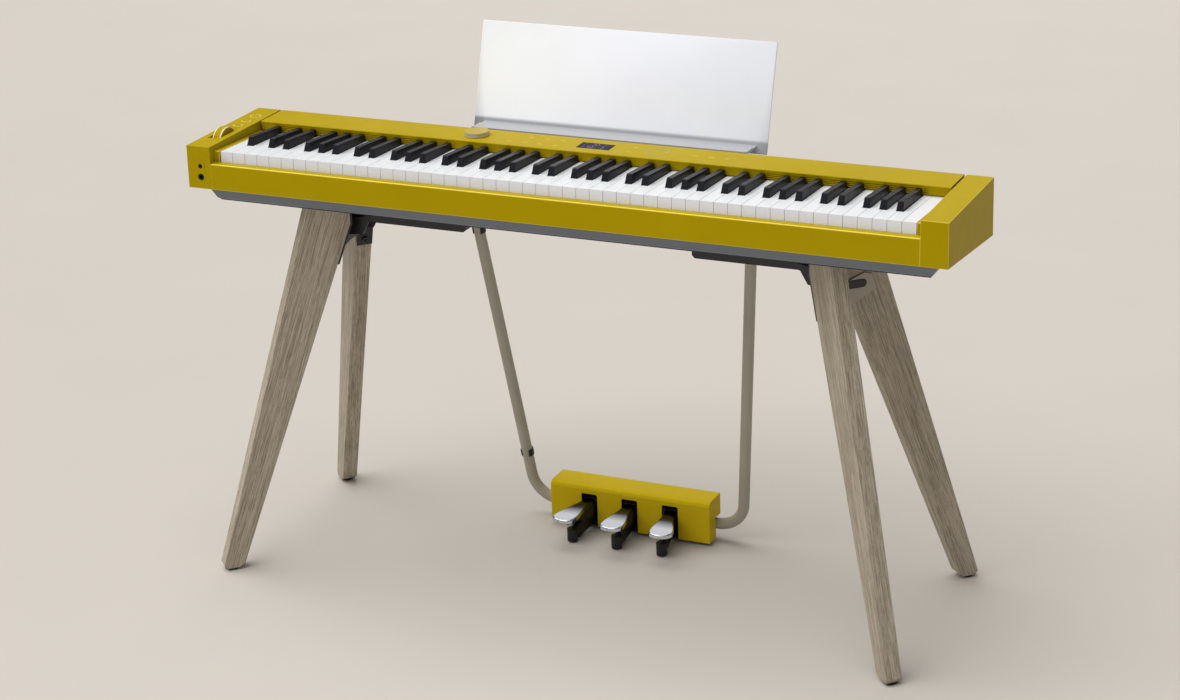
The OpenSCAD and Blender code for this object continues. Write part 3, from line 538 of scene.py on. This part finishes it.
# width of each node's rounded edges, in millimetres
ROUNDING = {
    "left_end_block": 1.7, "right_end_block": 1.7, "left_end_cap": 0.9, "front_rail": 1.1,
    "top_panel": 0.6, "key_cheeks": 0.8, "lower_case": 1.2, "rear_panel": 0.5, "base_plate": 0.4,
    "terminal_plate": 0.3, "rest_holders": 1.0, "display_window": 0.2, "headphone_plate": 0.3,
    "headphone_jacks": 0.3, "left_bracket": 0.8, "right_bracket": 0.8, "front_left_leg": 1.4,
    "front_right_leg": 1.4, "rear_left_leg": 1.4, "rear_right_leg": 1.4, "foot_pads": 0.5,
    "leg_plates": 0.5, "stand_bolts": 0.4, "tube_clips": 0.6, "pedal_box": 1.4,
    "pedal_box_back": 0.5, "pedal_supports": 0.6, "volume_knob": 0.5,
    "power_button": 0.8, "control_button_1": 0.8, "control_button_2": 0.8, "music_rest": 0.7,
    "left_pedal_lever": 0.6, "middle_pedal_lever": 0.6, "right_pedal_lever": 0.6,
    "bass_white_keys": 0.22, "treble_white_keys": 0.22, "key_c4": 0.22, "key_d4": 0.22,
    "key_e4": 0.22, "key_f4": 0.22, "bass_black_keys": 0.7, "treble_black_keys": 0.7,
    "key_c_sharp_4": 0.7, "key_d_sharp_4": 0.7, "key_f_sharp_4": 0.7,
}


# ---------------------------------------------------------------- pieces made here
def new_piece(name, mesh, body, material):
    """Adds a mesh as a piece that rides on a body and takes its finish from a slot."""
    mesh.materials.append(material)
    piece = bpy.data.objects.new(name, mesh)
    scene.collection.objects.link(piece)
    for face in mesh.polygons:
        face.use_smooth = True
    mesh.set_sharp_from_angle(angle=SMOOTH_BELOW)
    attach(piece, body)
    return piece


MERGE_REACH = 0.01 * MM
SMOOTH_BELOW = math.radians(35)


def mesh_from(name, points, faces):
    """A mesh with its doubled points merged and its faces all turned outwards."""
    mesh = bpy.data.meshes.new(name)
    mesh.from_pydata(points, [], faces)
    shape = bmesh.new()
    shape.from_mesh(mesh)
    bmesh.ops.remove_doubles(shape, verts=shape.verts, dist=MERGE_REACH)
    bmesh.ops.recalc_face_normals(shape, faces=shape.faces)
    shape.to_mesh(mesh)
    shape.free()
    return mesh


def joint_named(name):
    return next(j for j in frame["joints"] if j["name"] == name)


# the pedal pads' outline: a narrow root that widens to a round tip
PAD_ROUND = 15 * MM
PAD_WIDENS_AT = 0.12
PAD_EDGE = 2.6 * MM
PAD_CROWN = 0.7 * MM
NOTCH_HALF = 3 * MM
NOTCH_DEEP = 1.4 * MM
NOTCH_TOP = 3.6 * MM
NOTCH_MARGIN = 0.03
NOTCH_TOP_MARGIN = 0.02
PAD_END_DROP = 0.8
PAD_STATIONS = 44
PAD_COLUMNS = 28


def pad_measures(side):
    """The pad's frame and its sizes, measured on its CAD node."""
    hinge = joint_named(side + "_pedal_press")
    across = Vector(hinge["axis"]).normalized()
    up = Vector((0, 0, 1))
    back = up.cross(across)
    origin = Vector(hinge["pos_m"])
    local = [(p.dot(across), p.dot(back), p.dot(up))
             for p in (v.co - origin for v in nodes[side + "_pedal_pad"].data.vertices)]
    root_y = max(p[1] for p in local)
    tip_y = min(p[1] for p in local)
    root = [p for p in local if p[1] > root_y - 1 * MM]
    tip = [p for p in local if p[1] < tip_y + 1 * MM]
    root_low, root_high = min(p[2] for p in root), max(p[2] for p in root)
    tip_high = max(p[2] for p in tip)
    sizes = {
        "root_half": max(p[0] for p in root), "tip_half": max(p[0] for p in local),
        "root_y": root_y, "tip_y": tip_y, "low": root_low, "thick": root_high - root_low,
        "fall": (root_high - tip_high) / (root_y - tip_y),
    }
    return origin, across, back, up, sizes


def pedal_pad(side, material):
    """Chromed pad: a crowned top, a rolled edge and the small notch in its tip."""
    origin, across, back, up, m = pad_measures(side)
    length = m["root_y"] - m["tip_y"]

    def half_at(s):
        straight = length - PAD_ROUND
        if s > straight:
            return m["tip_half"] * math.sqrt(max(0.0, 1 - ((s - straight) / PAD_ROUND) ** 2))
        t = max(0.0, (s / straight - PAD_WIDENS_AT) / (1 - PAD_WIDENS_AT))
        return m["root_half"] + (m["tip_half"] - m["root_half"]) * (1 - math.cos(math.pi * t)) / 2

    def notch_station(half):
        return length - PAD_ROUND + PAD_ROUND * math.sqrt(1 - (half / m["tip_half"]) ** 2)

    stations = [length * math.sin(math.pi / 2 * k / PAD_STATIONS) for k in range(PAD_STATIONS + 1)]
    stations += [notch_station(NOTCH_HALF * (1 - NOTCH_MARGIN)),
                 notch_station(NOTCH_HALF * (1 + NOTCH_MARGIN))]
    stations.sort()
    columns = [math.sin(math.pi * (v / PAD_COLUMNS - 0.5)) for v in range(PAD_COLUMNS + 1)]

    def point(x, s, height):
        if abs(x) < NOTCH_HALF and s > length - NOTCH_DEEP and height < NOTCH_TOP:
            s = length - NOTCH_DEEP
        y = m["root_y"] - s
        return origin + across * x + back * y + up * (m["low"] - s * m["fall"] + height)

    def top_height(x, s):
        half = max(half_at(s), 1e-6)
        step = 0.2 * MM
        slope = (half_at(min(s + step, length)) - half_at(max(s - step, 0))) / (2 * step)
        inset = max(0.0, (half - abs(x)) * math.cos(math.atan(slope)))
        round_off = 0.0
        if inset < PAD_EDGE:
            round_off = PAD_EDGE - math.sqrt(PAD_EDGE ** 2 - (PAD_EDGE - inset) ** 2)
        reach = 1 - min(1.0, (length - s) / PAD_ROUND)
        fall = max((x / m["tip_half"]) ** 2, PAD_END_DROP * reach ** 2)
        return m["thick"] - round_off - PAD_CROWN * fall

    points, faces = [], []
    width = PAD_COLUMNS + 1
    for s in stations:
        points += [point(u * half_at(s), s, top_height(u * half_at(s), s)) for u in columns]
    base = len(points)
    for s in stations:
        points += [point(u * half_at(s), s, 0.0) for u in columns]
    for k in range(len(stations) - 1):
        for c in range(PAD_COLUMNS):
            a = k * width + c
            faces.append((a, a + 1, a + width + 1, a + width))
            faces.append((base + a, base + a + width, base + a + width + 1, base + a + 1))
    levels = (NOTCH_TOP * (1 - NOTCH_TOP_MARGIN), NOTCH_TOP * (1 + NOTCH_TOP_MARGIN))
    for column in (0, PAD_COLUMNS):
        rows = []
        for k, s in enumerate(stations):
            x = columns[column] * half_at(s)
            wall = [base + k * width + column]
            for level in levels:
                points.append(point(x, s, level))
                wall.append(len(points) - 1)
            wall.append(k * width + column)
            rows.append(wall)
        for near, far in zip(rows, rows[1:]):
            for level in range(len(near) - 1):
                faces.append((near[level], far[level], far[level + 1], near[level + 1]))
    faces.append(tuple(range(0, width)) + tuple(range(base + width - 1, base - 1, -1)))
    mesh = mesh_from(side + "_pad_mesh", points, faces)
    piece = new_piece(side + "_pedal_chrome_pad", mesh, side + "_pedal", material)
    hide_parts(side + "_pedal_pad")


WHEEL_RIBS = 56
WHEEL_STEPS = 448
WHEEL_RIB_DEPTH = 0.5 * MM
WHEEL_RIM = 2.2 * MM
WHEEL_EDGE = 1.1 * MM
WHEEL_EDGE_STEPS = 5
WHEEL_HUB = 4 * MM
WHEEL_RIB_START = 0.4 * MM


def pitch_wheel(material, rim_highlight_material):
    """Ribbed thumb wheel with smooth rims painted pale as a painted highlight, turned about the joint's axis."""
    hinge = joint_named("pitch_turn")
    centre = Vector(hinge["pos_m"])
    low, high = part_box("pitch_wheel")
    half = (high[0] - low[0]) / 2
    radius = (high[1] - low[1]) / 2
    quarter = [math.pi / 2 * k / WHEEL_EDGE_STEPS for k in range(WHEEL_EDGE_STEPS + 1)]
    left = [(-half + WHEEL_EDGE * (1 - math.sin(q)), radius - WHEEL_EDGE * (1 - math.cos(q)), False)
            for q in reversed(quarter)]
    tread = [(-half + WHEEL_RIM, radius, False),
             (-half + WHEEL_RIM + WHEEL_RIB_START, radius, True)]
    profile = [(-half, WHEEL_HUB, False)] + left + tread
    profile += [(-x, r, ribbed) for x, r, ribbed in reversed(profile)]
    points, faces = [], []
    count = len(profile)
    for step in range(WHEEL_STEPS):
        angle = 2 * math.pi * step / WHEEL_STEPS
        dip = WHEEL_RIB_DEPTH * (1 - math.cos(WHEEL_RIBS * angle)) / 2
        for x, r, ribbed in profile:
            reach = r - dip if ribbed else r
            points.append(centre + Vector((x, reach * math.sin(angle), reach * math.cos(angle))))
        after = (step + 1) % WHEEL_STEPS
        for k in range(count - 1):
            here, there = step * count + k, after * count + k
            faces.append((here, here + 1, there + 1, there))
    faces.append(tuple(step * count for step in range(WHEEL_STEPS)))
    faces.append(tuple(step * count + count - 1 for step in reversed(range(WHEEL_STEPS))))
    mesh = mesh_from("pitch_wheel_mesh", points, faces)
    piece = new_piece("pitch_wheel_ribbed", mesh, "pitch_wheel", material)
    mesh.materials.append(rim_highlight_material)
    rim_inner = half - WHEEL_RIM
    for face in mesh.polygons:
        off_centre = abs(face.center.x - centre.x)
        out = math.hypot(face.center.y - centre.y, face.center.z - centre.z)
        if off_centre > rim_inner and out > radius - 1.5 * WHEEL_EDGE:
            face.material_index = 1
    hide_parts("pitch_wheel")


TRIM_GAP = 0.9 * MM
TRIM_HALF = 0.8 * MM
TRIM_RISE = 0.25 * MM
TRIM_SUNK = 0.1 * MM
TRIM_STEPS = 64
CAP_FALL = 1.5 * MM


def button_trim(name, material):
    """Thin pale ring, lying on the cap around a button."""
    low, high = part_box(name)
    centre = Vector(((low[0] + high[0]) / 2, (low[1] + high[1]) / 2, 0))
    end = (high[1] - low[1]) / 2 + TRIM_GAP
    stretch = (high[0] - low[0] - (high[1] - low[1])) / 2
    cap_low, cap_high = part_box("left_end_cap")
    panel_z = cap_high[2]
    slope = CAP_FALL / (cap_high[1] - cap_low[1])
    section = [(-TRIM_HALF, -TRIM_SUNK), (-TRIM_HALF, TRIM_RISE * 0.6),
               (-TRIM_HALF * 0.5, TRIM_RISE)]
    section += [(-out, rise) for out, rise in reversed(section)]
    count = len(section)
    points, faces = [], []
    for step in range(TRIM_STEPS):
        angle = 2 * math.pi * step / TRIM_STEPS
        direction = Vector((math.cos(angle), math.sin(angle), 0))
        shift = Vector((math.copysign(stretch, direction.x), 0, 0))
        for out, rise in section:
            spot = centre + shift + direction * (end + out)
            spot.z = panel_z - (cap_high[1] - spot.y) * slope + rise
            points.append(spot)
        after = (step + 1) % TRIM_STEPS
        for k in range(count):
            next_k = (k + 1) % count
            faces.append((step * count + k, step * count + next_k,
                          after * count + next_k, after * count + k))
    mesh = mesh_from(name + "_trim_mesh", points, faces)
    new_piece(name + "_trim", mesh, "root", material)


make_camera()
make_studio()
looks = make_materials()
dress_nodes(looks)
for node_name, millimetres in ROUNDING.items():
    round_edges(node_name, millimetres * MM, looks["mustard_edge"])
for pedal in ("left", "middle", "right"):
    pedal_pad(pedal, looks["pedal_chrome"])
pitch_wheel(looks["mustard"], looks["wheel_rim"])
for button in ("power_button", "control_button_1", "control_button_2"):
    button_trim(button, looks["button_ring"])
